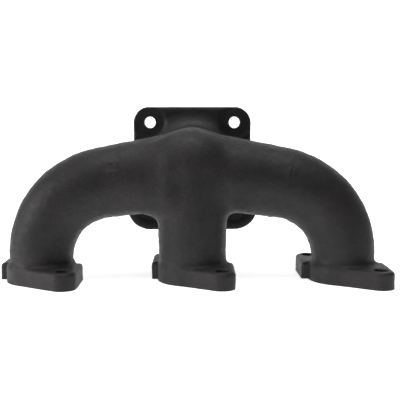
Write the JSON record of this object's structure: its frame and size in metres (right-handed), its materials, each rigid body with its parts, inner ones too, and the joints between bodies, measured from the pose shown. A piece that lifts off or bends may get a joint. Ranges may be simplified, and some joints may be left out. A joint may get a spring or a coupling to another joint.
{
  "type": "exhaust manifold",
  "caption": "Cast-iron exhaust manifold for an inline engine: curved runners rise from stud-eared port flanges into a central collector with a square bolted outlet flange.",
  "frame": {"origin": "centre of the middle port on the cylinder-head joint face", "axes": "+X along the row of ports, +Y out of the outlet flange towards the exhaust pipe, +Z away from the cylinder head"},
  "size_m": [0.2798, 0.0931, 0.1261],
  "materials": {
    "cast_iron": "matt black heat-resistant coating over sand-cast iron"
  },
  "bodies": {
    "root": {"port_flange_left": "cast_iron", "port_flange_centre": "cast_iron", "port_flange_right": "cast_iron", "elbow_left": "cast_iron", "elbow_right": "cast_iron", "arm_left": "cast_iron", "arm_right": "cast_iron", "centre_riser": "cast_iron", "collector": "cast_iron", "outlet_neck": "cast_iron", "outlet_flange": "cast_iron"}
  },
  "joints": []
}
